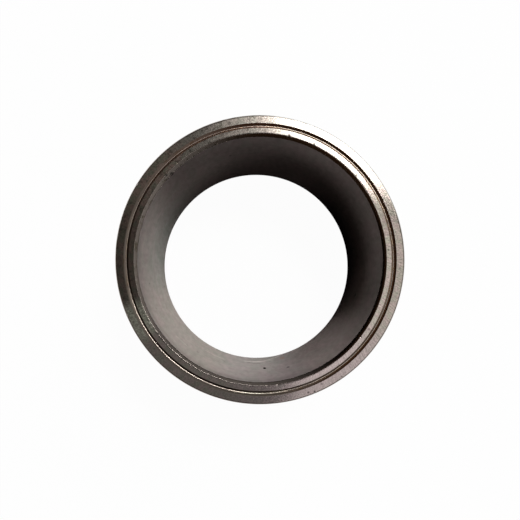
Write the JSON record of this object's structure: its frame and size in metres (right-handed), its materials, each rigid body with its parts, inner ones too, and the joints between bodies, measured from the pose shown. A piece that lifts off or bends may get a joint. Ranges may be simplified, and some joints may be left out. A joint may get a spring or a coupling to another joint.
{
  "type": "sleeve bushing",
  "caption": "Plain steel sleeve bushing with a chamfered running bore and a shallow ring groove with sloping sides in one end face.",
  "frame": {"origin": "centre of the bore in the plane of the lower end face, on which the bushing stands", "axes": "+Z along the bore axis, towards the end face that has the groove; X and Y are across the bore"},
  "size_m": [0.1, 0.1, 0.09],
  "materials": {
    "steel": "warm grey hardened steel, ground end face with a bright broken edge, dull bore"
  },
  "bodies": {
    "root": {"bushing": "steel"}
  },
  "joints": []
}
